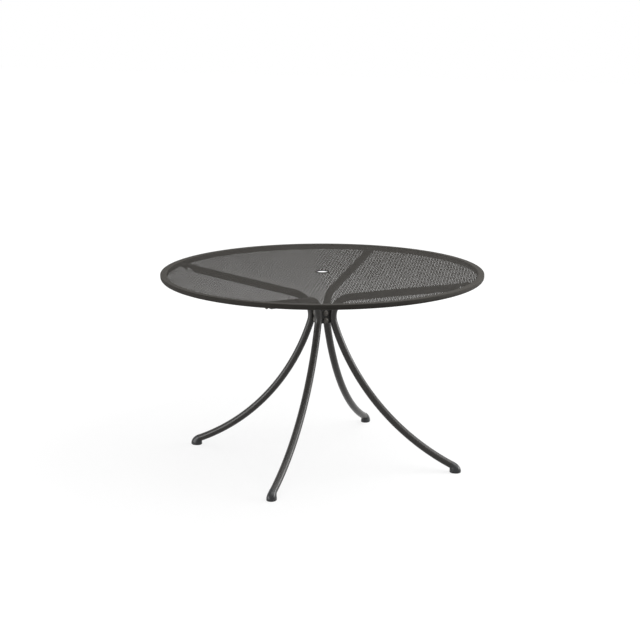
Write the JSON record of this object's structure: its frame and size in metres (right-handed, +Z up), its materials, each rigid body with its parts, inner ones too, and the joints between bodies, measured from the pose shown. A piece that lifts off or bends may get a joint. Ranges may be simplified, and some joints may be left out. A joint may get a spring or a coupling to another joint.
{
  "type": "round garden table",
  "caption": "Round outdoor dining table: mesh top in a rolled steel rim, parasol hole, and bent tube legs that meet at a narrow clamped waist.",
  "frame": {"origin": "middle of the floor under the table, where its axis meets the plane of the feet", "axes": "+Z up along the table's axis; +X towards the right leg and +Y towards the rear leg, so each leg lies on an axis"},
  "size_m": [1.2198, 1.22, 0.737],
  "materials": {
    "coated_frame": "satin powder coat on steel tube and rim, dark iron grey",
    "coated_mesh": "satin powder coat on expanded steel mesh, dark iron grey",
    "moulded_plastic": "semi-matt moulded nylon, near black",
    "cast_hub": "powder coat on cast iron, dark iron grey",
    "fastener_steel": "blackened steel fasteners, satin"
  },
  "bodies": {
    "root": {"top_rim": "coated_frame", "mesh_sheet": "coated_mesh", "hole_ring": "moulded_plastic", "hole_lock_ring": "moulded_plastic", "right_leg": "coated_frame", "rear_leg": "coated_frame", "left_leg": "coated_frame", "front_leg": "coated_frame", "right_foot_cap": "moulded_plastic", "rear_foot_cap": "moulded_plastic", "left_foot_cap": "moulded_plastic", "front_foot_cap": "moulded_plastic", "right_rim_lug": "coated_frame", "rear_rim_lug": "coated_frame", "left_rim_lug": "coated_frame", "front_rim_lug": "coated_frame", "rim_bolts": "fastener_steel", "rim_washers": "fastener_steel", "rim_cap_nuts": "fastener_steel", "hub_core": "cast_hub", "pole_bush": "moulded_plastic", "front_right_clamp": "cast_hub", "rear_right_clamp": "cast_hub", "rear_left_clamp": "cast_hub", "front_left_clamp": "cast_hub", "hub_bolts": "fastener_steel", "hub_washers": "fastener_steel"}
  },
  "joints": []
}
